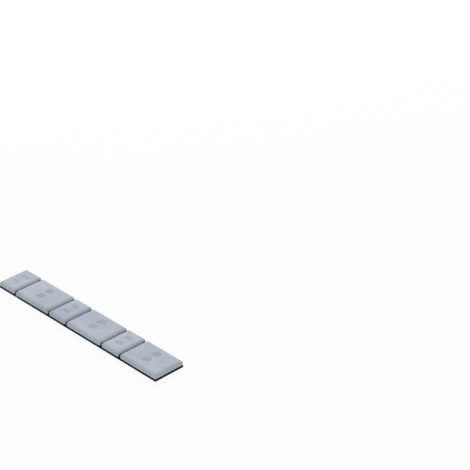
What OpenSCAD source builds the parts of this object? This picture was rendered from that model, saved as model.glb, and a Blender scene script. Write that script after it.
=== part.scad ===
// Self-adhesive wheel balance weight: a strip of coated steel blocks in two
// sizes on one foam tape, with the release film still on its underside.
// The strip lies film down. X runs along it from its short end block to its
// long end block, Y runs across it, and Z = 0 is the underside of the film.

/* [Weight blocks] */
// Width of every block, across the strip
block_w = 19; // [15:0.5:25]
// Height of a block above the tape
block_h = 2.7; // [2:0.05:5]
// Length of a short block, the 5 g size
short_l = 13.1; // [9:0.1:20]
// Length of a long block, the 10 g size
long_l = 26.7; // [16:0.1:36]
// Open gap between two blocks, where the strip is cut
block_gap = 1.2; // [0.8:0.1:3]
// Radius of a block's upright corners, seen from above
corner_r = 1; // [0.5:0.1:2.5]
// Width of the soft edge around a block's top face
edge_w = 1.8; // [1.6:0.1:3]
// How far the soft edge falls from the top face to the side
edge_d = 1.1; // [0.6:0.1:1.2]

/* [Foam tape] */
// Thickness of the foam tape with its two coats of glue
tape_t = 1.2; // [0.5:0.05:2]
// How far the tape's sides and ends stay inside the blocks
tape_inset = 0.1; // [0.05:0.05:0.6]

/* [Release film] */
// Thickness of the release film
film_t = 0.1; // [0.05:0.01:0.3]
// Length of the pull tab that stands out past the short end block
tab_l = 1.1; // [0.5:0.1:6]
// Radius of the pull tab's two corners
tab_r = 0.8; // [0.3:0.1:3]

/* [Blade nick] */
// How far the nick lies past the middle of the first gap, towards the long block
nick_shift = 0.8; // [0:0.1:3]
// Width of the nick in the tape's edge
nick_w = 0.7; // [0.3:0.1:0.8]
// Depth of the nick from the tape's edge
nick_d = 0.8; // [0.3:0.1:2]

/* [Hidden] */
$fn = 64;
pairs = 3;
// A cut runs this far past the faces it goes through
cut_over = 0.5;
// Radius of the arc that starts level in the top face and makes the soft edge
edge_r = (edge_w * edge_w + edge_d * edge_d) / (2 * edge_d);
pitch = short_l + long_l + 2 * block_gap;
blocks_l = pairs * pitch - block_gap;
tape_l = blocks_l - 2 * tape_inset;
tape_w = block_w - 2 * tape_inset;
film_l = tape_l + tab_l;
// The tape's left end is set so that the strip with its tab is centred on X
tape_x = (tab_l - tape_inset - blocks_l) / 2 + tape_inset;
blocks_x = tape_x - tape_inset;
tape_z = film_t;
block_z = tape_z + tape_t;
// Middle of the nick that a blade has left in the near edge at the first gap
nick_x = blocks_x + short_l + block_gap / 2 + nick_shift;
steel_color = [0.72, 0.75, 0.79];
foam_color = [0.06, 0.07, 0.09];
film_color = [0.05, 0.62, 0.9];

// Left end of the short block of a pair, counted from zero
function short_x(pair) = blocks_x + pair * pitch;
// Left end of the long block of a pair
function long_x(pair) = short_x(pair) + short_l + block_gap;

// Plan of a block, with its upright corners rounded
module block_plan(block_l) {
    straight_l = block_l - 2 * corner_r;
    straight_w = block_w - 2 * corner_r;
    square([block_l, straight_w], center = true);
    square([straight_l, block_w], center = true);
    for (x = [-1, 1], y = [-1, 1])
        translate([x * straight_l / 2, y * straight_w / 2])
            circle(r = corner_r);
}

// Upright section of a block that is as long as the span: flat on top, with an
// arc at each end that falls to the side. Its foot runs past both sides.
module crown_section(span) {
    flat_l = span - 2 * edge_w;
    foot_h = block_h - 1.5 * edge_d;
    translate([-flat_l / 2, -cut_over])
        square([flat_l, block_h + cut_over]);
    translate([-span / 2 - cut_over, -cut_over])
        square([span + 2 * cut_over, foot_h + cut_over]);
    intersection() {
        translate([-span / 2 - cut_over, -cut_over])
            square([span + 2 * cut_over, block_h + 2 * cut_over]);
        for (side = [-1, 1])
            translate([side * flat_l / 2, block_h - edge_r])
                circle(r = edge_r);
    }
}

// Crown of a block as long as the span, lying along X and running far enough
// across it for a block of the given width
module crown(span, across) {
    rotate([90, 0, 0])
        linear_extrude(height = across + 2 * cut_over, center = true)
            crown_section(span);
}

// One block, its left end at X = 0 and its underside at Z = 0
module block(block_l) {
    translate([block_l / 2, 0, 0])
        intersection() {
            linear_extrude(height = block_h + cut_over)
                block_plan(block_l);
            crown(block_l, block_w);
            rotate(90)
                crown(block_w, block_l);
        }
}

// A 5 g block in its place on the tape
module short_weight(pair) {
    color(steel_color)
        translate([short_x(pair), 0, block_z])
            block(short_l);
}

// A 10 g block in its place on the tape
module long_weight(pair) {
    color(steel_color)
        translate([long_x(pair), 0, block_z])
            block(long_l);
}

// V-shaped cut that a blade left in the near edge at the first gap, standing
// on the underside of the layer that it goes through
module nick(layer_t) {
    translate([nick_x, -tape_w / 2, -cut_over])
        linear_extrude(height = layer_t + 2 * cut_over)
            polygon([
                [-nick_w / 2, -cut_over],
                [-nick_w / 2, 0],
                [0, nick_d],
                [nick_w / 2, 0],
                [nick_w / 2, -cut_over]
            ]);
}

// Foam tape under all the blocks, cut square at both ends
module foam_tape() {
    color(foam_color)
        translate([0, 0, tape_z])
            difference() {
                translate([tape_x, -tape_w / 2, 0])
                    cube([tape_l, tape_w, tape_t]);
                nick(tape_t);
            }
}

// Outline of the pull tab's rounded end, from the film's left end inwards
module tab_outline() {
    for (side = [-1, 1])
        translate([tab_r, side * (tape_w / 2 - tab_r)])
            circle(r = tab_r);
    translate([0, tab_r - tape_w / 2])
        square([tab_r, tape_w - 2 * tab_r]);
    translate([tab_r, -tape_w / 2])
        square([film_l - tab_r, tape_w]);
}

// Release film under the tape, with its pull tab past the short end block
module release_film() {
    color(film_color)
        difference() {
            translate([tape_x - tab_l, 0, 0])
                linear_extrude(height = film_t)
                    tab_outline();
            nick(film_t);
        }
}

module weight_5g_1() { short_weight(0); }
module weight_10g_1() { long_weight(0); }
module weight_5g_2() { short_weight(1); }
module weight_10g_2() { long_weight(1); }
module weight_5g_3() { short_weight(2); }
module weight_10g_3() { long_weight(2); }

weight_5g_1();
weight_10g_1();
weight_5g_2();
weight_10g_2();
weight_5g_3();
weight_10g_3();
foam_tape();
release_film();
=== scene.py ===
import math

import bpy
import numpy as np
from mathutils import Matrix, Vector


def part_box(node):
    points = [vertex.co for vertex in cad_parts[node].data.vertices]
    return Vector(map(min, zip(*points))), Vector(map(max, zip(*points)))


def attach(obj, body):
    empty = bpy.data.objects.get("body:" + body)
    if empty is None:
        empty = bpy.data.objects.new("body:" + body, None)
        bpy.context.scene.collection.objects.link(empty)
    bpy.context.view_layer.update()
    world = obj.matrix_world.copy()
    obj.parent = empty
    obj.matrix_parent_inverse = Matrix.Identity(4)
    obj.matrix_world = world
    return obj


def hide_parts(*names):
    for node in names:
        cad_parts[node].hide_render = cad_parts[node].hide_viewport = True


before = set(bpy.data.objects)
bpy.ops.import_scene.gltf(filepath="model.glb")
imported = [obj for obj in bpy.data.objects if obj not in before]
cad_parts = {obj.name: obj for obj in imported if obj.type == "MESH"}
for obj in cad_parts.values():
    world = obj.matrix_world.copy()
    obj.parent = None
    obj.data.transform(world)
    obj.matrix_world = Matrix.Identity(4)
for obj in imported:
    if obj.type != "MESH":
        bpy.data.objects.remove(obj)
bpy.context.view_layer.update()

# A self-adhesive wheel balance weight: six coated steel blocks on one foam tape, with its
# release film still on. Lengths are in metres unless a line says millimetres, and places are in
# the frame of the solids.

bl_info = {
    "name": "Wheel Balance Weight",
    "version": (1, 0, 0),
    "blender": (4, 5, 0),
    "location": "3D View > Sidebar > Balance Weight",
    "description": "Dresses a strip of adhesive wheel balance weights and sets its studio",
    "category": "Object",
}

MM = 0.001
SHORT_BLOCKS = ("weight_5g_1", "weight_5g_2", "weight_5g_3")
LONG_BLOCKS = ("weight_10g_1", "weight_10g_2", "weight_10g_3")
TAPE_NODE = "foam_tape"
FILM_NODE = "release_film"
COAT_NAME = "silver_grey_coat"
# Side of the square picture in pixels, and width of the camera's sensor in millimetres
PICTURE_SIDE = 470
SENSOR = 36.0

# How dark the stamps of each block have come out, partly darker coat and partly painted shade in
# their hollows
STAMP_TONES = {"weight_5g_1": 0.8, "weight_10g_1": 1.5, "weight_5g_2": 1.35,
               "weight_10g_2": 1.1, "weight_5g_3": 1.2, "weight_10g_3": 1.25}

# Steps of the mesh around each upright corner of a block
CORNER_STEPS = 10
# Rings of the crown outside the flat middle, as shares of the corner radius
CROWN_RINGS = (0.2, 0.4, 0.6, 0.8, 0.92, 1.0)
# Rings of the upright side, as shares of the height of a lip just below the crown's rim
SIDE_RINGS = (0.85, 0.5, 0.12)
# How far the lip lies below the rim
LIP = 0.05 * MM
# Width of the bevel around a block's underside
FOOT = 0.18 * MM
# A crown's corner falls at most this many edge drops
CORNER_FALL = 1.12
# A block's end this close to the middle of a gap faces that gap
GAP_REACH = 2 * MM
# Painted shade darkens a block's end where the cosine between its outward direction and the strip is
# past the first number, and in full past the sum of both
END_SHADE = (0.93, 0.07)
# The same for the bevel under a block's long sides, with the cosine across the strip
FOOT_SHADE = (0.5, 0.4)

# Spots in a metre of each texture of the coat
COAT_SPOTS = {"cloud": 55.0, "tint": 260.0, "mottle": 420.0, "wear": 900.0, "speckle": 1050.0,
              "ragged": 1300.0, "peel": 1500.0, "fleck": 5200.0}
# Shares of red, green and blue that make the coat's tone slightly bluer
BLUER = (0.955, 0.99, 1.05)
# The pale specks are this many times as light as the coat
PALE_SPECK = 1.5
# Spots in a metre of the foam's open cells and of its uneven tone
FOAM_CELLS = 5200.0
FOAM_CLOUD = 700.0
# Spots in a metre of the film's uneven tone and of its grain
FILM_CLOUD = 160.0
FILM_GRAIN = 2600.0
WHITE = (1.0, 1.0, 1.0)


class WeightSettings(bpy.types.PropertyGroup):
    """Sizes and colours of the steel blocks."""

    corner_radius: bpy.props.FloatProperty(
        name="Corner radius", description="Radius of a block's upright corners",
        default=1.0 * MM, min=0.2 * MM, max=3 * MM, unit="LENGTH", precision=5)
    edge_width: bpy.props.FloatProperty(
        name="Edge width", description="Width of the soft edge around the top face",
        default=1.8 * MM, min=0.3 * MM, max=4 * MM, unit="LENGTH", precision=5)
    edge_drop: bpy.props.FloatProperty(
        name="Edge drop", description="How far the soft edge falls to the side",
        default=1.1 * MM, min=0.2 * MM, max=1.9 * MM, unit="LENGTH", precision=5)
    dome: bpy.props.FloatProperty(
        name="Dome", description="How far the top face sinks from its middle to the soft edge",
        default=0.07 * MM, min=0.0, max=0.3 * MM, unit="LENGTH", precision=5)
    dome_width: bpy.props.FloatProperty(
        name="Dome width", description="Distance from the block's side at which the sinking starts",
        default=5.5 * MM, min=1 * MM, max=9 * MM, unit="LENGTH", precision=5)
    cell: bpy.props.FloatProperty(
        name="Mesh cell", description="Side of one cell of the top face's mesh",
        default=0.13 * MM, min=0.05 * MM, max=1 * MM, unit="LENGTH", precision=5)
    digit_height: bpy.props.FloatProperty(
        name="Digit height", description="Height of the stamped digits",
        default=3.2 * MM, min=1 * MM, max=8 * MM, unit="LENGTH", precision=5)
    stroke: bpy.props.FloatProperty(
        name="Digit stroke", description="Width of the floor of a stamped stroke",
        default=0.42 * MM, min=0.1 * MM, max=1.5 * MM, unit="LENGTH", precision=5)
    stroke_wall: bpy.props.FloatProperty(
        name="Stroke wall", description="Width of the sloping wall beside a stroke",
        default=0.4 * MM, min=0.05 * MM, max=1 * MM, unit="LENGTH", precision=5)
    digit_depth: bpy.props.FloatProperty(
        name="Digit depth", description="How deep the digits are stamped",
        default=0.12 * MM, min=0.0, max=0.6 * MM, unit="LENGTH", precision=5)
    smear: bpy.props.FloatProperty(
        name="Smear", description="How far the darker smear reaches around a stamped digit",
        default=1.1 * MM, min=0.1 * MM, max=4 * MM, unit="LENGTH", precision=5)
    near_mark: bpy.props.FloatProperty(
        name="Near mark", description="Place of the near number across the block",
        default=-2.8 * MM, min=-9 * MM, max=9 * MM, unit="LENGTH", precision=5)
    far_mark: bpy.props.FloatProperty(
        name="Far mark", description="Place of the far number across the block",
        default=3.2 * MM, min=-9 * MM, max=9 * MM, unit="LENGTH", precision=5)
    # Painted shade: how far along a gap the darkening at its two ends reaches
    glue_reach: bpy.props.FloatProperty(
        name="Glue reach", description="How far along a gap the dark glue at its two ends reaches",
        default=2.6 * MM, min=0.1 * MM, max=8 * MM, unit="LENGTH", precision=5)
    coat_color: bpy.props.FloatVectorProperty(
        name="Coat colour", description="Silver-grey coat on the steel",
        default=(0.475, 0.528, 0.597), min=0.0, max=1.0, subtype="COLOR")
    # The coat shade is also the colour of the painted shade on the soft edges and in the stamps
    coat_shade: bpy.props.FloatVectorProperty(
        name="Coat shade", description="Darker tone of the coat's specks and stamps",
        default=(0.24, 0.27, 0.31), min=0.0, max=1.0, subtype="COLOR")
    worn_color: bpy.props.FloatVectorProperty(
        name="Worn colour", description="Paler tone where the soft edges are rubbed",
        default=(0.60, 0.62, 0.65), min=0.0, max=1.0, subtype="COLOR")
    # Painted shade: the colour that darkens the block ends at the gap ends and the bevel underneath
    glue_color: bpy.props.FloatVectorProperty(
        name="Glue colour", description="Dark glue that has crept up at the ends of a gap",
        default=(0.045, 0.047, 0.054), min=0.0, max=1.0, subtype="COLOR")
    coat_roughness: bpy.props.FloatProperty(
        name="Coat roughness", description="How rough the coat is",
        default=0.78, min=0.0, max=1.0, subtype="FACTOR")
    cloud_swing: bpy.props.FloatProperty(
        name="Cloud swing", description="How far the coat's broad clouds go lighter and darker",
        default=0.08, min=0.0, max=0.5, subtype="FACTOR")
    mottle: bpy.props.FloatProperty(
        name="Mottle", description="Strength of the darker mottle in the coat",
        default=0.5, min=0.0, max=2.0, subtype="FACTOR")
    speckle: bpy.props.FloatProperty(
        name="Speckle", description="Strength of the light and dark specks in the coat",
        default=0.95, min=0.0, max=2.0, subtype="FACTOR")
    fleck: bpy.props.FloatProperty(
        name="Fleck", description="Strength of the finest flakes in the coat",
        default=0.35, min=0.0, max=2.0, subtype="FACTOR")
    # The stamp tone is partly darker coat and partly painted shade in the stamped hollows
    stamp_tone: bpy.props.FloatProperty(
        name="Stamp tone", description="How dark the coat is in a stamped digit",
        default=0.42, min=0.0, max=1.0, subtype="FACTOR")
    wear: bpy.props.FloatProperty(
        name="Wear", description="How far the soft edges are rubbed pale in patches",
        default=0.2, min=0.0, max=1.0, subtype="FACTOR")
    # Painted shade: how far the soft edges and the top of the sides are darkened towards the coat
    # shade
    edge_shade: bpy.props.FloatProperty(
        name="Edge tone", description="How far the soft edges are darker than the top face",
        default=0.08, min=0.0, max=1.0, subtype="FACTOR")


class TapeSettings(bpy.types.PropertyGroup):
    """Look of the foam tape, and the blade nick that goes through tape and film."""

    foam_color: bpy.props.FloatVectorProperty(
        name="Foam colour", description="Black foam",
        default=(0.003, 0.0033, 0.004), min=0.0, max=1.0, subtype="COLOR")
    torn_color: bpy.props.FloatVectorProperty(
        name="Torn colour", description="Pale torn foam in the blade nick",
        default=(0.80, 0.80, 0.82), min=0.0, max=1.0, subtype="COLOR")
    foam_roughness: bpy.props.FloatProperty(
        name="Foam roughness", description="How rough the foam is",
        default=0.85, min=0.0, max=1.0, subtype="FACTOR")
    side_wave: bpy.props.FloatProperty(
        name="Side wave", description="How far the cut sides wander inwards",
        default=0.03 * MM, min=0.0, max=0.3 * MM, unit="LENGTH", precision=5)
    soft_edge: bpy.props.FloatProperty(
        name="Soft edge", description="How far the long edges draw in at the top and the bottom",
        default=0.12 * MM, min=0.0, max=0.3 * MM, unit="LENGTH", precision=5)
    station: bpy.props.FloatProperty(
        name="Station spacing", description="Distance between sections along the tape",
        default=0.35 * MM, min=0.1 * MM, max=2 * MM, unit="LENGTH", precision=5)
    nick_shift: bpy.props.FloatProperty(
        name="Nick shift", description="How far the blade nick lies past the first gap's middle",
        default=0.8 * MM, min=0.0, max=3 * MM, unit="LENGTH", precision=5)
    nick_width: bpy.props.FloatProperty(
        name="Nick width", description="Width of the blade nick in the near edge",
        default=0.7 * MM, min=0.1 * MM, max=1.5 * MM, unit="LENGTH", precision=5)
    nick_depth: bpy.props.FloatProperty(
        name="Nick depth", description="Depth of the blade nick",
        default=0.8 * MM, min=0.1 * MM, max=2 * MM, unit="LENGTH", precision=5)
    wave_seed: bpy.props.IntProperty(
        name="Wave seed", description="Start of the random waves in the cut sides",
        default=7, min=0, max=9999)


class FilmSettings(bpy.types.PropertyGroup):
    """Look of the release film."""

    film_color: bpy.props.FloatVectorProperty(
        name="Film colour", description="Blue of the film where it sits on the glue",
        default=(0.003, 0.35, 0.78), min=0.0, max=1.0, subtype="COLOR")
    loose_color: bpy.props.FloatVectorProperty(
        name="Loose colour", description="Paler blue where the film has let go",
        default=(0.10, 0.56, 0.93), min=0.0, max=1.0, subtype="COLOR")
    edge_color: bpy.props.FloatVectorProperty(
        name="Edge colour", description="Dark tone of the film's cut edge, smeared with glue",
        default=(0.004, 0.005, 0.007), min=0.0, max=1.0, subtype="COLOR")
    film_roughness: bpy.props.FloatProperty(
        name="Film roughness", description="How rough the film is",
        default=0.24, min=0.0, max=1.0, subtype="FACTOR")
    film_thickness: bpy.props.FloatProperty(
        name="Film thickness", description="Thickness of the sheet itself",
        default=0.09 * MM, min=0.02 * MM, max=0.1 * MM, unit="LENGTH", precision=5)
    tab_radius: bpy.props.FloatProperty(
        name="Tab radius", description="Radius of the pull tab's corners",
        default=0.8 * MM, min=0.1 * MM, max=3 * MM, unit="LENGTH", precision=5)
    tab_curl: bpy.props.FloatProperty(
        name="Tab curl", description="How far the pull tab's end lifts",
        default=0.22 * MM, min=0.0, max=1 * MM, unit="LENGTH", precision=5)
    film_cell: bpy.props.FloatProperty(
        name="Mesh cell", description="Side of one cell of the film's mesh",
        default=0.4 * MM, min=0.1 * MM, max=2 * MM, unit="LENGTH", precision=5)
    bubbles: bpy.props.IntProperty(
        name="Bubbles", description="Number of small bubbles under the film",
        default=16, min=1, max=200)
    seed: bpy.props.IntProperty(
        name="Seed", description="Start of the film's random places",
        default=11, min=0, max=9999)


class StageSettings(bpy.types.PropertyGroup):
    """Camera, lamp, room and floor."""

    camera_place: bpy.props.FloatVectorProperty(
        name="Camera place", description="Where the camera stands",
        default=(0.57625, -0.45773, 0.46958), subtype="TRANSLATION", unit="LENGTH")
    azimuth: bpy.props.FloatProperty(
        name="Azimuth", description="Direction that the camera looks from",
        default=math.radians(45.560), subtype="ANGLE")
    elevation: bpy.props.FloatProperty(
        name="Elevation", description="How far the camera looks down",
        default=math.radians(29.590), subtype="ANGLE")
    roll: bpy.props.FloatProperty(
        name="Roll", description="Turn of the picture about its middle",
        default=math.radians(0.037), subtype="ANGLE")
    focal_pixels: bpy.props.FloatProperty(
        name="Focal length", description="Focal length in pixels of the square picture",
        default=1672.0, min=200.0, subtype="PIXEL")
    floor_color: bpy.props.FloatVectorProperty(
        name="Floor colour", description="Pale floor",
        default=(0.92, 0.92, 0.92), min=0.0, max=1.0, subtype="COLOR")
    floor_reach: bpy.props.FloatProperty(
        name="Floor reach", description="Distance from the middle of the floor to its sides",
        default=4.0, min=1.0, unit="LENGTH")
    floor_glow: bpy.props.FloatProperty(
        name="Floor glow", description="Share of plain white in the floor as the camera sees it",
        default=0.9, min=0.0, max=1.0, subtype="FACTOR")
    room_light: bpy.props.FloatProperty(
        name="Room light", description="Strength of the even light all round",
        default=0.66, min=0.0, max=2.0)
    key_place: bpy.props.FloatVectorProperty(
        name="Key place", description="Where the large lamp hangs",
        default=(-0.9, 0.7, 1.0), subtype="TRANSLATION", unit="LENGTH")
    key_size: bpy.props.FloatProperty(
        name="Key size", description="Side of the large lamp",
        default=1.2, min=0.1, unit="LENGTH")
    key_power: bpy.props.FloatProperty(
        name="Key power", description="Power of the large lamp",
        default=11.5, min=0.0, unit="POWER")


class Sock:
    """A shader socket that can be written in Python expressions."""

    def __init__(self, board, socket):
        self.board = board
        self.socket = socket

    def _math(self, operation, *values):
        made = self.board.add("ShaderNodeMath", {"operation": operation}, dict(enumerate(values)))
        return made.out()

    def __add__(self, other):
        return self._math("ADD", self, other)

    __radd__ = __add__

    def __mul__(self, other):
        return self._math("MULTIPLY", self, other)

    __rmul__ = __mul__

    def __sub__(self, other):
        return self._math("SUBTRACT", self, other)

    def __rsub__(self, other):
        return self._math("SUBTRACT", other, self)

    def biggest(self, other):
        """The larger of the two."""
        return self._math("MAXIMUM", self, other)

    def smallest(self, other):
        """The smaller of the two."""
        return self._math("MINIMUM", self, other)

    def clamped(self):
        """The value kept between 0 and 1."""
        return self.smallest(1.0).biggest(0.0)


class Made:
    """A node that was just made, with its outputs as expressions."""

    def __init__(self, board, node):
        self.board = board
        self.node = node

    def out(self, name=0):
        """One of the node's outputs, by its name or number."""
        return Sock(self.board, self.node.outputs[name])


class Board:
    """The node tree of one material or world, and the one method that adds a node."""

    def __init__(self, tree):
        self.tree = tree
        tree.nodes.clear()

    def add(self, kind, settings=None, values=None):
        """Add a node with its settings, and then the values or links of its sockets."""
        node = self.tree.nodes.new(kind)
        for key, value in (settings or {}).items():
            if key == "stops":
                self._set_stops(node.color_ramp, value)
            else:
                setattr(node, key, value)
        for key, value in (values or {}).items():
            self._feed(node.inputs[key], value)
        return Made(self, node)

    def _feed(self, socket, value):
        if isinstance(value, Made):
            value = value.out()
        if isinstance(value, Sock):
            self.tree.links.new(value.socket, socket)
        elif socket.type == "RGBA":
            socket.default_value = (*value[:3], 1.0)
        else:
            socket.default_value = value

    def _set_stops(self, ramp, stops):
        while len(ramp.elements) > 1:
            ramp.elements.remove(ramp.elements[-1])
        for index, (place, level) in enumerate(stops):
            mark = ramp.elements[0] if index == 0 else ramp.elements.new(place)
            mark.position = place
            mark.color = (level, level, level, 1.0)

    def mix(self, factor, first, second):
        """One colour at factor 0 and the other at factor 1.

        The node's colours are its inputs 6 and 7 and its output 2.
        """
        mixed = self.add("ShaderNodeMix", {"data_type": "RGBA"}, {0: factor, 6: first, 7: second})
        return mixed.out(2)

    def point(self):
        """The point on the object."""
        return self.add("ShaderNodeTexCoord").out("Object")

    def noise(self, spots, detail=2.0, roughness=0.5):
        """Cloudy noise around one half, with so many spots in a metre."""
        values = {"Vector": self.point(), "Scale": spots, "Detail": detail, "Roughness": roughness}
        return self.add("ShaderNodeTexNoise", {}, values).out("Fac")

    def attribute(self, name):
        """A number that the mesh holds at each of its points."""
        return self.add("ShaderNodeAttribute", {"attribute_name": name}).out("Fac")

    def ramp(self, factor, stops):
        """The factor taken through a row of places, each with its level."""
        return self.add("ShaderNodeValToRGB", {"stops": stops}, {0: factor}).out()

    def bump(self, height, strength, distance):
        """A surface direction that leans with the height."""
        values = {"Strength": strength, "Distance": distance, "Height": height}
        return self.add("ShaderNodeBump", {}, values).out()


def new_material(name):
    """A material with an empty board for its nodes."""
    material = bpy.data.materials.new(name)
    material.use_nodes = True
    return material, Board(material.node_tree)


def finish_surface(board, shader):
    """Make the shader the material's surface."""
    board.add("ShaderNodeOutputMaterial", {}, {"Surface": shader})


def scaled(color, *shares):
    """The colour with its channels times one share, or each times its own, and 1 at most."""
    spread = shares if len(shares) == 3 else shares * 3
    return tuple(min(1.0, channel * share) for channel, share in zip(color, spread))


def coated_steel_material(settings):
    """Satin silver-grey coat with clouds, specks and flakes.

    It is darker in the stamped digits, partly as darker coat and partly as painted shade in their
    hollows, and rubbed pale along the soft edges. Painted shade darkens the soft edges, the block
    ends at the two ends of each gap, and the bevel underneath.
    """
    material, board = new_material(COAT_NAME)
    coat, shade = settings.coat_color, settings.coat_shade
    cloud = board.noise(COAT_SPOTS["cloud"], detail=3.0)
    tint = board.noise(COAT_SPOTS["tint"])
    mottle = board.noise(COAT_SPOTS["mottle"], detail=3.0, roughness=0.6)
    speckle = board.noise(COAT_SPOTS["speckle"], roughness=0.6)
    fleck = board.noise(COAT_SPOTS["fleck"], roughness=0.7)
    wear = board.noise(COAT_SPOTS["wear"], detail=3.0)
    ragged = board.noise(COAT_SPOTS["ragged"])
    peel = board.noise(COAT_SPOTS["peel"])
    rim = board.attribute("rim")

    dull = scaled(coat, 1 - settings.cloud_swing)
    pale = scaled(coat, 1 + settings.cloud_swing)
    base = board.mix(board.ramp(cloud, [(0.35, 0.0), (0.65, 1.0)]), dull, pale)
    base = board.mix(board.ramp(tint, [(0.42, 0.0), (0.64, 0.4)]), base, scaled(coat, *BLUER))
    base = board.mix(((mottle - 0.5) * settings.mottle + 0.03).clamped(), base, shade)
    base = board.mix(((speckle - 0.5) * settings.speckle).clamped(), base, shade)
    light = scaled(coat, PALE_SPECK)
    base = board.mix(((0.5 - speckle) * settings.speckle).clamped(), base, light)
    base = board.mix(((fleck - 0.5) * settings.fleck + 0.03).clamped(), base, shade)
    # The stamps and their smears are darkened: partly darker coat, partly painted shade in the
    # hollows
    stamp = board.attribute("stamp") * settings.stamp_tone
    base = board.mix(stamp.clamped(), base, shade)
    worn = rim * board.ramp(wear, [(0.45, 0.0), (0.75, 1.0)]) * settings.wear
    base = board.mix(worn.clamped(), base, settings.worn_color)
    # Painted shade darkens the soft edges and the top of the sides
    base = board.mix((rim * settings.edge_shade).clamped(), base, shade)
    # Painted shade on the block ends at the gap ends and on the bevel underneath, with a ragged rim
    shade_mask = board.attribute("glue") + (ragged - 0.5) * 0.3
    base = board.mix(board.ramp(shade_mask, [(0.38, 0.0), (0.62, 1.0)]), base, settings.glue_color)

    relief = board.bump(peel * 0.7 + fleck * 0.3, strength=0.22, distance=0.05 * MM)
    shader = board.add("ShaderNodeBsdfPrincipled", {}, {
        "Base Color": base,
        "Metallic": 0.0,
        "Roughness": (settings.coat_roughness + (fleck - 0.5) * 0.2).clamped(),
        "Specular IOR Level": 0.2,
        "Normal": relief,
    })
    finish_surface(board, shader)
    return material


def foam_material(settings):
    """Matte black foam with open cells along its cut sides, pale where it is torn."""
    material, board = new_material("black_foam")
    voronoi = board.add("ShaderNodeTexVoronoi", {"feature": "F1"},
                        {"Vector": board.point(), "Scale": FOAM_CELLS})
    cells = voronoi.out("Distance")
    cloud = board.noise(FOAM_CLOUD, detail=3.0)
    cell_walls = scaled(settings.foam_color, 2.4)
    base = board.mix(board.ramp(cells * 0.7 + cloud * 0.4, [(0.3, 0.0), (0.8, 1.0)]),
                     settings.foam_color, cell_walls)
    torn = board.attribute("torn") * board.ramp(cloud, [(0.2, 0.6), (0.6, 1.0)])
    base = board.mix(torn, base, settings.torn_color)
    relief = board.bump(cells + cloud * 0.5, strength=0.6, distance=0.06 * MM)
    shader = board.add("ShaderNodeBsdfPrincipled", {}, {
        "Base Color": base,
        "Roughness": (settings.foam_roughness + (cloud - 0.5) * 0.3).clamped(),
        "Specular IOR Level": 0.05,
        "Normal": relief,
    })
    finish_surface(board, shader)
    return material


def film_material(settings):
    """Glossy blue film, paler in patches where it has let go, and dark at its cut edge."""
    material, board = new_material("blue_film")
    loose = board.attribute("loose")
    cloud = board.noise(FILM_CLOUD, detail=3.0)
    grain = board.noise(FILM_GRAIN)
    base = board.mix(cloud, scaled(settings.film_color, 0.86), settings.film_color)
    base = board.mix(loose, base, settings.loose_color)
    # A face steeper than 60 degrees takes on the dark tone of the cut edge
    facing = board.add("ShaderNodeNewGeometry").out("True Normal")
    dot = board.add("ShaderNodeVectorMath", {"operation": "DOT_PRODUCT"}, {0: facing, 1: (0, 0, 1)})
    level = dot.out("Value")
    base = board.mix(1.0 - (level * level * 4.0).clamped(), base, settings.edge_color)
    relief = board.bump(grain + cloud, strength=0.15, distance=0.03 * MM)
    shader = board.add("ShaderNodeBsdfPrincipled", {}, {
        "Base Color": base,
        "Roughness": (settings.film_roughness + (grain - 0.5) * 0.15 + loose * 0.08).clamped(),
        "Specular IOR Level": 0.3,
        "Normal": relief,
    })
    finish_surface(board, shader)
    return material


def arc(centre_x, centre_y, radius_x, radius_y, start, end, steps):
    """Points along part of an ellipse, angles in degrees."""
    angles = np.radians(np.linspace(start, end, steps + 1))
    return [(centre_x + radius_x * math.cos(a), centre_y + radius_y * math.sin(a)) for a in angles]


# Each digit is a line in a box one unit high, starting at the left, and its width
DIGITS = {
    "0": (arc(0.29, 0.5, 0.29, 0.5, 0, 360, 28), 0.58),
    "1": ([(0.0, 0.76), (0.26, 1.0), (0.26, 0.0)], 0.30),
    "5": ([(0.52, 1.0), (0.10, 1.0), (0.05, 0.55)]
          + arc(0.26, 0.32, 0.30, 0.32, 128, -140, 18), 0.56),
}
DIGIT_GAP = 0.17


def number_segments(text, height):
    """The strokes of a number, centred on the origin, as rows of start and end points."""
    total = sum(DIGITS[digit][1] for digit in text) + DIGIT_GAP * (len(text) - 1)
    left, rows = -total / 2, []
    for digit in text:
        points, width = DIGITS[digit]
        moved = [((left + x) * height, (y - 0.5) * height) for x, y in points]
        rows += [(*start, *end) for start, end in zip(moved, moved[1:])]
        left += width + DIGIT_GAP
    return np.array(rows)


def distance_to(points, segments):
    """Shortest distance from each point to the strokes."""
    start, run = segments[:, :2], segments[:, 2:] - segments[:, :2]
    from_start = points[:, None, :] - start[None, :, :]
    share = np.clip((from_start * run).sum(2) / (run * run).sum(1), 0, 1)
    return np.linalg.norm(from_start - share[:, :, None] * run, axis=2).min(1)


def smooth(share):
    """A soft step from 0 to 1."""
    share = np.clip(share, 0, 1)
    return share * share * (3 - 2 * share)


def stamp_depth(points, text, settings):
    """Depth of the stamped digits from 0 to 1, and the tone of the stamps and their smears, partly
    painted shade.

    The digits read across the strip.
    """
    smear_tone, smear_core = 0.45, 1.25
    depth, tone = np.zeros(len(points)), np.zeros(len(points))
    segments = number_segments(text, settings.digit_height)
    reach = settings.stroke / 2 + settings.stroke_wall
    for across in (settings.near_mark, settings.far_mark):
        turned = np.stack([points[:, 1] - across, -points[:, 0]], 1)
        away = distance_to(turned, segments)
        cut = smooth((reach - away) / settings.stroke_wall)
        smeared = smear_tone * smooth(smear_core - away / settings.smear)
        depth = np.maximum(depth, cut)
        tone = np.maximum(tone, np.maximum(cut, smeared))
    return depth, tone


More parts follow.
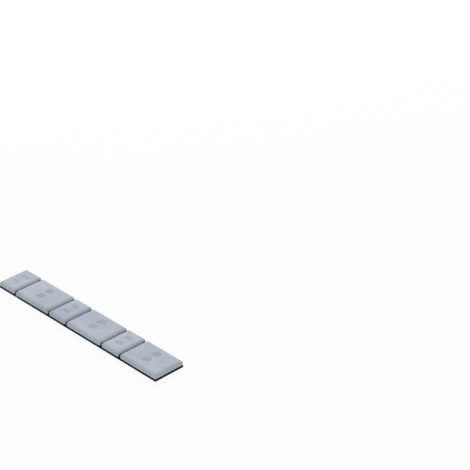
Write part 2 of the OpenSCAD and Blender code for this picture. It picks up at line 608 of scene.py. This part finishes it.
def make_object(name, vertices, faces, material):
    """A mesh object that rides on the strip."""
    mesh = bpy.data.meshes.new(name)
    mesh.from_pydata([tuple(v) for v in vertices], [], faces)
    mesh.validate()
    mesh.update()
    mesh.polygons.foreach_set("use_smooth", [True] * len(mesh.polygons))
    mesh.materials.append(material)
    made = bpy.data.objects.new(name, mesh)
    bpy.context.scene.collection.objects.link(made)
    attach(made, "root")
    return made


def add_attribute(made, name, values):
    """Keep a number at each point of the mesh, for its material."""
    layer = made.data.attributes.new(name, "FLOAT", "POINT")
    layer.data.foreach_set("value", np.asarray(values, np.float32))


def gap_middles():
    """The middle of each open gap between blocks, along the strip."""
    boxes = sorted((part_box(node) for node in SHORT_BLOCKS + LONG_BLOCKS), key=lambda box: box[0].x)
    return [(left[1].x + right[0].x) / 2 for left, right in zip(boxes, boxes[1:])]


def rim_walk(last_x, last_y):
    """Column, row and outward angle of each place around the rim of a block's flat middle.

    A corner comes again for each step of its turn.
    """
    turns = [90.0 * step / CORNER_STEPS for step in range(1, CORNER_STEPS)]
    walk = [(i, 0, -90.0) for i in range(last_x + 1)]
    walk += [(last_x, 0, -90.0 + turn) for turn in turns]
    walk += [(last_x, j, 0.0) for j in range(last_y + 1)]
    walk += [(last_x, last_y, turn) for turn in turns]
    walk += [(i, last_y, 90.0) for i in reversed(range(last_x + 1))]
    walk += [(0, last_y, 90.0 + turn) for turn in turns]
    walk += [(0, j, 180.0) for j in reversed(range(last_y + 1))]
    walk += [(0, 0, 180.0 + turn) for turn in turns]
    return walk


def edge_fall(from_side, settings):
    """How far the dome and the soft edge fall, by distance from the block's side."""
    width, drop = settings.edge_width, settings.edge_drop
    radius = (width * width + drop * drop) / (2 * drop)
    along = np.clip(width - from_side, 0, width)
    sunk = settings.dome * (1 - smooth(from_side / settings.dome_width))
    return radius - np.sqrt(radius * radius - along * along) + sunk


def crown_height(plan, size, settings):
    """Height of a block's crown above its underside, at places around the block's middle."""
    fall_x = edge_fall(size.x / 2 - np.abs(plan[:, 0]), settings)
    fall_y = edge_fall(size.y / 2 - np.abs(plan[:, 1]), settings)
    return size.z - np.minimum(np.hypot(fall_x, fall_y), settings.edge_drop * CORNER_FALL)


def rim_share(plan, size, settings):
    """How far a place of the top face lies in the soft edge, from 0 to 1 at the block's side."""
    from_side = np.minimum(size.x / 2 - np.abs(plan[:, 0]), size.y / 2 - np.abs(plan[:, 1]))
    return np.clip(1 - from_side / settings.edge_width, 0, 1)


def turned_to(cosines, start, fade):
    """A soft step from 0 to 1 as the sides of a block turn to face one way."""
    return smooth((np.abs(cosines) - start) / fade)


def glue_in_gap(plan, outward, size, facing, settings):
    """How much painted shade lies on the side, near the two ends of the gaps beside the block.

    It is full to half the shade's reach from an end, and gone past one and a half of it.
    """
    gap_side = np.where(outward[:, 0] > 0, facing[1], facing[0])
    from_end = size.y / 2 - np.abs(plan[:, 1])
    near_end = smooth(1.5 - from_end / settings.glue_reach)
    return gap_side * turned_to(outward[:, 0], *END_SHADE) * near_end


def block_rings(base, angles, size, facing, settings):
    """The rings around a block's flat middle, from the crown down to the bevel underneath.

    Each ring is its plan, its heights, how far it counts as soft edge, and its painted shade.
    """
    outward = np.stack([np.cos(angles), np.sin(angles)], 1)
    radius = settings.corner_radius
    bare = np.zeros(len(base))
    rings = []
    for share in CROWN_RINGS:
        plan = base + outward * radius * share
        rings.append((plan, crown_height(plan, size, settings), 1.0, bare))
    side = base + outward * radius
    lip = crown_height(side, size, settings) - LIP
    # The ends that face a gap get painted shade near the gap's two ends
    side_glue = glue_in_gap(side, outward, size, facing, settings)
    rings += [(side, lip * share, max(0.0, 2 * share - 1), side_glue) for share in SIDE_RINGS]
    foot = base + outward * (radius - FOOT)
    # The bevel underneath gets painted shade as well, all along the long sides
    foot_glue = np.maximum(glue_in_gap(foot, outward, size, facing, settings),
                           turned_to(outward[:, 1], *FOOT_SHADE))
    rings.append((foot, bare, 0.0, foot_glue))
    return rings


def block_piece(node, text, material, settings):
    """One steel block with its number stamped twice into the top face."""
    low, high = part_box(node)
    middle, size = (low + high) / 2, high - low
    facing = [any(abs(end - gap) < GAP_REACH for gap in gap_middles()) for end in (low.x, high.x)]
    half_x, half_y = size.x / 2 - settings.corner_radius, size.y / 2 - settings.corner_radius
    count_x, count_y = round(2 * half_x / settings.cell), round(2 * half_y / settings.cell)
    xs = np.linspace(-half_x, half_x, count_x + 1)
    ys = np.linspace(-half_y, half_y, count_y + 1)
    flat = np.array([(x, y) for y in ys for x in xs])
    stamped, tone = stamp_depth(flat, text, settings)
    top = crown_height(flat, size, settings) - settings.digit_depth * stamped
    row = count_x + 1
    faces = [(j * row + i, j * row + i + 1, (j + 1) * row + i + 1, (j + 1) * row + i)
             for j in range(count_y) for i in range(count_x)]

    walk = rim_walk(count_x, count_y)
    base = np.array([(xs[i], ys[j]) for i, j, _ in walk])
    angles = np.radians([angle for _, _, angle in walk])
    vertices = [np.column_stack([flat, top])]
    rim, glue = [rim_share(flat, size, settings)], [np.zeros(len(flat))]
    inner = [j * row + i for i, j, _ in walk]
    count = len(flat)
    for plan, heights, soft, glued in block_rings(base, angles, size, facing, settings):
        vertices.append(np.column_stack([plan, heights]))
        rim.append(np.full(len(walk), soft))
        glue.append(glued)
        outer = list(range(count, count + len(walk)))
        for k in range(len(walk)):
            n = (k + 1) % len(walk)
            face = (inner[k], outer[k], outer[n], inner[n])
            faces.append(face if inner[k] != inner[n] else face[:3])
        inner = outer
        count += len(walk)
    vertices.append(np.zeros((1, 3)))
    rim.append(np.zeros(1))
    glue.append(np.zeros(1))
    faces += [(inner[k], count, inner[(k + 1) % len(walk)]) for k in range(len(walk))]

    placed = np.concatenate(vertices) + np.array([middle.x, middle.y, low.z])
    made = make_object(node + "_block", placed, faces, material)
    stamp = np.zeros(len(placed))
    stamp[:len(flat)] = tone * STAMP_TONES[node]
    add_attribute(made, "stamp", stamp)
    add_attribute(made, "rim", np.concatenate(rim))
    add_attribute(made, "glue", np.concatenate(glue))
    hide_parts(node)
    return made


def lane(low, high, spacing, extra=()):
    """Even stations from low to high, with a few exact ones in place of the even ones near them."""
    even = np.linspace(low, high, max(2, round((high - low) / spacing)) + 1)
    kept = [s for s in even if all(abs(s - e) > spacing * 0.4 for e in extra)]
    return np.array(sorted(kept + list(extra)))


def nick_cut(x, nick, settings):
    """How deep the blade nick is at one place along the strip."""
    return settings.nick_depth * max(0.0, 1 - abs(x - nick) / (settings.nick_width / 2))


def tape_piece(material, settings):
    """The foam tape: cut sides that wander a little, soft long edges, and the blade nick."""
    low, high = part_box(TAPE_NODE)
    nick = gap_middles()[0] + settings.nick_shift
    half_nick, nick_rim = settings.nick_width / 2, 0.06 * MM
    marks = [nick - half_nick - nick_rim, nick - half_nick, nick,
             nick + half_nick, nick + half_nick + nick_rim]
    stations = lane(low.x, high.x, settings.station, marks)
    # Each of the four long edges wanders by a sum of waves, with these radians in a metre
    rates = np.array([0.37, 0.9, 1.7, 2.9, 4.3, 6.1]) / MM
    swing = 1.6
    phases = np.random.default_rng(settings.wave_seed).uniform(0, 2 * math.pi, (4, len(rates)))
    height = high.z - low.z
    # Shares of the height, and how far the side is drawn in there
    slight = 0.02 * MM
    section = [(0.0, settings.soft_edge), (0.35, slight), (0.65, slight), (1.0, settings.soft_edge)]
    vertices, torn = [], []
    for x in stations:
        inward = [settings.side_wave * (0.5 + 0.5 * np.sin(rates * x + phase).mean() * swing)
                  for phase in phases]
        cut = nick_cut(x, nick, settings)
        for share, drawn in section:
            near = low.y + cut + drawn + inward[0] * (1 - share) + inward[1] * share
            vertices.append((x, near, low.z + height * share))
        for share, drawn in reversed(section):
            far = high.y - drawn - inward[2] * (1 - share) - inward[3] * share
            vertices.append((x, far, low.z + height * share))
        in_nick = abs(x - nick) < half_nick + nick_rim / 2
        torn += [float(in_nick)] * len(section) + [0.0] * len(section)
    around, last = 2 * len(section), len(stations) - 1
    faces = []
    for here in range(0, last * around, around):
        for i in range(around):
            n = (i + 1) % around
            faces.append((here + i, here + around + i, here + around + n, here + n))
    faces.append(tuple(range(around)))
    faces.append(tuple(last * around + i for i in reversed(range(around))))
    made = make_object("foam_tape_strip", vertices, faces, material)
    add_attribute(made, "torn", torn)
    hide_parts(TAPE_NODE)
    return made


def film_limits(x, low, high, settings):
    """Where the film begins and ends across the strip, at one place along it, without the nick."""
    near, far = low.y, high.y
    from_end, radius = x - low.x, settings.tab_radius
    if from_end < radius:
        drawn = radius - math.sqrt(max(0.0, from_end * (2 * radius - from_end)))
        near, far = near + drawn, far - drawn
    return near, far


def loose_waves(settings):
    """Size in millimetres, rate and start of each wave of the loose patch's rim."""
    starts = np.random.default_rng(settings.seed).uniform(0, 2 * math.pi, 5)
    return zip((0.9, 0.7, 0.45, 0.25, 0.15), (0.055, 0.13, 0.31, 0.74, 1.6), starts)


def loose_share(x, y, low, high, settings):
    """How far the film has let go of the glue: along the far edge and at the tab's end.

    The numbers below are millimetres, but for the rate and the lean.
    """
    edge_width, edge_fade = 2.3, 0.5
    corner_length, corner_fade = 6.5, 0.7
    corner_wave, corner_rate, corner_lean = 1.2, 0.8, 0.35
    from_edge, from_end = (high.y - y) / MM, (x - low.x) / MM
    wave = sum(size * np.sin(x / MM * rate + start) for size, rate, start in loose_waves(settings))
    edge = smooth((edge_width + wave - from_edge) / edge_fade)
    length = corner_length + corner_wave * np.sin(y / MM * corner_rate)
    corner = smooth((length - from_end - from_edge * corner_lean) / corner_fade)
    return np.maximum(edge, corner)


def bubble_rise(x, y, low, high, settings):
    """How far the film's underside bulges at its small bubbles, from 0 to 1."""
    random = np.random.default_rng(settings.seed)
    bubble_x = random.uniform(low.x + 4 * MM, high.x - 2 * MM, settings.bubbles)
    bubble_y = random.uniform(low.y + 1 * MM, high.y - 1 * MM, settings.bubbles)
    bubble_radius = random.uniform(0.35 * MM, 0.8 * MM, settings.bubbles)
    away = np.hypot(x[:, None] - bubble_x[None, :], y[:, None] - bubble_y[None, :])
    return smooth(1 - away / bubble_radius[None, :]).max(1)


def film_piece(material, settings, tape_settings):
    """The release film with its pull tab, paler loose patches and a few small bubbles below."""
    low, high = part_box(FILM_NODE)
    tape_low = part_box(TAPE_NODE)[0]
    nick = gap_middles()[0] + tape_settings.nick_shift
    half_nick = tape_settings.nick_width / 2
    corner = [low.x + settings.tab_radius * (1 - math.cos(math.radians(turn)))
              for turn in range(10, 90, 10)]
    marks = corner + [nick - half_nick, nick, nick + half_nick]
    xs = lane(low.x, high.x, settings.film_cell, marks)
    shares = np.linspace(0, 1, round((high.y - low.y) / settings.film_cell) + 1)
    plan = []
    for station in xs:
        near, far = film_limits(station, low, high, settings)
        near += nick_cut(station, nick, tape_settings)
        plan += [(station, near + share * (far - near)) for share in shares]
    plan = np.array(plan)
    x, y = plan.T
    raised = bubble_rise(x, y, low, high, settings)
    curl = settings.tab_curl * smooth((tape_low.x - x) / (tape_low.x - low.x))
    thin = settings.film_thickness
    upper = np.full(len(plan), high.z) + curl
    lower = upper - thin - raised * (high.z - low.z - thin)
    vertices = np.concatenate([np.column_stack([plan, upper]), np.column_stack([plan, lower])])

    row, count, last = len(shares), len(plan), len(xs) - 1
    faces = []
    for i in range(last):
        for j in range(row - 1):
            a, b = i * row + j, (i + 1) * row + j
            faces.append((a, b, b + 1, a + 1))
            faces.append((count + a + 1, count + b + 1, count + b, count + a))
    rim = [i * row for i in range(last + 1)]
    rim += [last * row + j for j in range(1, row)]
    rim += [i * row + row - 1 for i in reversed(range(last))]
    rim += [j for j in reversed(range(1, row - 1))]
    for here, there in zip(rim, rim[1:] + rim[:1]):
        faces.append((here, count + here, count + there, there))
    made = make_object("release_film_sheet", vertices, faces, material)
    bubble_tone, bubble_spread = 0.8, 2.5
    loose = np.maximum(loose_share(x, y, low, high, settings),
                       bubble_tone * smooth(raised * bubble_spread))
    add_attribute(made, "loose", np.concatenate([loose, loose]))
    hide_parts(FILM_NODE)
    return made


def make_blocks(context, nodes, text):
    """Make blocks of one size, in the one coat that all the blocks share."""
    settings = context.scene.weight_settings
    material = bpy.data.materials.get(COAT_NAME) or coated_steel_material(settings)
    for node in nodes:
        block_piece(node, text, material, settings)


class WEIGHT_OT_short_blocks(bpy.types.Operator):
    """Make the short steel blocks."""

    bl_idname = "balance_weight.short_blocks"
    bl_label = "Short Blocks"

    def execute(self, context):
        make_blocks(context, SHORT_BLOCKS, "5")
        return {"FINISHED"}


class WEIGHT_OT_long_blocks(bpy.types.Operator):
    """Make the long steel blocks."""

    bl_idname = "balance_weight.long_blocks"
    bl_label = "Long Blocks"

    def execute(self, context):
        make_blocks(context, LONG_BLOCKS, "10")
        return {"FINISHED"}


class WEIGHT_OT_foam_tape(bpy.types.Operator):
    """Make the foam tape under the blocks."""

    bl_idname = "balance_weight.foam_tape"
    bl_label = "Foam Tape"

    def execute(self, context):
        settings = context.scene.tape_settings
        tape_piece(foam_material(settings), settings)
        return {"FINISHED"}


class WEIGHT_OT_release_film(bpy.types.Operator):
    """Make the release film on the underside."""

    bl_idname = "balance_weight.release_film"
    bl_label = "Release Film"

    def execute(self, context):
        settings = context.scene.film_settings
        film_piece(film_material(settings), settings, context.scene.tape_settings)
        return {"FINISHED"}


def camera_turn(azimuth, elevation, roll):
    """The camera's rotation, from the direction that it looks from."""
    back = Vector((math.sin(azimuth) * math.cos(elevation),
                   -math.cos(azimuth) * math.cos(elevation),
                   math.sin(elevation)))
    right = Vector((math.cos(azimuth), math.sin(azimuth), 0.0))
    up = back.cross(right)
    turned_right = right * math.cos(roll) + up * math.sin(roll)
    turned_up = up * math.cos(roll) - right * math.sin(roll)
    return Matrix((turned_right, turned_up, back)).transposed().to_quaternion()


def seen_directly(board):
    """One for what the camera sees, also in gloss or through glass, and zero for what lights."""
    path = board.add("ShaderNodeLightPath")
    seen = path.out("Is Camera Ray").biggest(path.out("Is Glossy Ray"))
    return seen.biggest(path.out("Is Transmission Ray"))


def add_floor(context, settings):
    """The pale floor: it shows as nearly white and keeps a faint shadow."""
    reach = settings.floor_reach
    corners = [(-reach, -reach, 0), (reach, -reach, 0), (reach, reach, 0), (-reach, reach, 0)]
    mesh = bpy.data.meshes.new("floor")
    mesh.from_pydata(corners, [], [(0, 1, 2, 3)])
    floor = bpy.data.objects.new("floor", mesh)
    context.scene.collection.objects.link(floor)
    material, board = new_material("pale_floor")
    plain = board.add("ShaderNodeBsdfDiffuse", {}, {"Color": settings.floor_color})
    white = board.add("ShaderNodeEmission", {}, {"Color": WHITE, "Strength": 1.0})
    glow = seen_directly(board) * settings.floor_glow
    finish_surface(board, board.add("ShaderNodeMixShader", {}, {0: glow, 1: plain, 2: white}))
    mesh.materials.append(material)


def add_room(context, settings):
    """Even light from all round, which shows as plain white."""
    world = bpy.data.worlds.new("room")
    world.use_nodes = True
    context.scene.world = world
    board = Board(world.node_tree)
    light = {"Color": WHITE, "Strength": settings.room_light}
    even = board.add("ShaderNodeBackground", {}, light)
    white = board.add("ShaderNodeBackground", {}, {"Color": WHITE, "Strength": 1.0})
    shown = board.add("ShaderNodeMixShader", {}, {0: seen_directly(board), 1: even, 2: white})
    board.add("ShaderNodeOutputWorld", {}, {"Surface": shown})


def add_lamp(context, settings):
    """The one large soft lamp."""
    lamp = bpy.data.lights.new("key", "AREA")
    lamp.shape = "RECTANGLE"
    lamp.size = settings.key_size
    lamp.size_y = settings.key_size
    lamp.energy = settings.key_power
    key = bpy.data.objects.new("key", lamp)
    key.location = settings.key_place
    key.rotation_mode = "QUATERNION"
    key.rotation_quaternion = key.location.normalized().to_track_quat("Z", "Y")
    context.scene.collection.objects.link(key)


def add_camera(context, settings):
    """The camera at the photograph's viewing angle."""
    data = bpy.data.cameras.new("camera")
    data.sensor_width = SENSOR
    data.lens = settings.focal_pixels / PICTURE_SIDE * SENSOR
    data.clip_start = 0.01
    data.clip_end = 20.0
    camera = bpy.data.objects.new("camera", data)
    camera.location = settings.camera_place
    camera.rotation_mode = "QUATERNION"
    camera.rotation_quaternion = camera_turn(settings.azimuth, settings.elevation, settings.roll)
    context.scene.collection.objects.link(camera)
    context.scene.camera = camera


class WEIGHT_OT_stage(bpy.types.Operator):
    """Make the floor, the room, the lamp and the camera."""

    bl_idname = "balance_weight.stage"
    bl_label = "Stage"

    def execute(self, context):
        settings = context.scene.stage_settings
        context.scene.view_settings.view_transform = "Standard"
        add_floor(context, settings)
        add_room(context, settings)
        add_lamp(context, settings)
        add_camera(context, settings)
        return {"FINISHED"}


class VIEW3D_PT_balance_weight(bpy.types.Panel):
    """Sizes, colours and the steps that make the strip."""

    bl_label = "Balance Weight"
    bl_space_type = "VIEW_3D"
    bl_region_type = "UI"
    bl_category = "Balance Weight"

    def draw(self, context):
        for name in GROUPS:
            settings = getattr(context.scene, name)
            box = self.layout.box()
            for key in settings.bl_rna.properties.keys():
                if key not in ("rna_type", "name"):
                    box.prop(settings, key)
        for operator in OPERATORS:
            self.layout.operator(operator.bl_idname)


OPERATORS = (WEIGHT_OT_stage, WEIGHT_OT_short_blocks, WEIGHT_OT_long_blocks,
             WEIGHT_OT_foam_tape, WEIGHT_OT_release_film)
GROUPS = {"weight_settings": WeightSettings, "tape_settings": TapeSettings,
          "film_settings": FilmSettings, "stage_settings": StageSettings}
CLASSES = (*GROUPS.values(), *OPERATORS, VIEW3D_PT_balance_weight)


def register():
    """Make the classes and the scene's settings known to Blender."""
    for made in CLASSES:
        bpy.utils.register_class(made)
    for name, group in GROUPS.items():
        setattr(bpy.types.Scene, name, bpy.props.PointerProperty(type=group))


def unregister():
    """Take them away again."""
    for name in GROUPS:
        delattr(bpy.types.Scene, name)
    for made in reversed(CLASSES):
        bpy.utils.unregister_class(made)


def main():
    """Make the stage and every piece."""
    register()
    for operator in OPERATORS:
        group, name = operator.bl_idname.split(".")
        getattr(getattr(bpy.ops, group), name)()


if __name__ == "__main__":
    main()
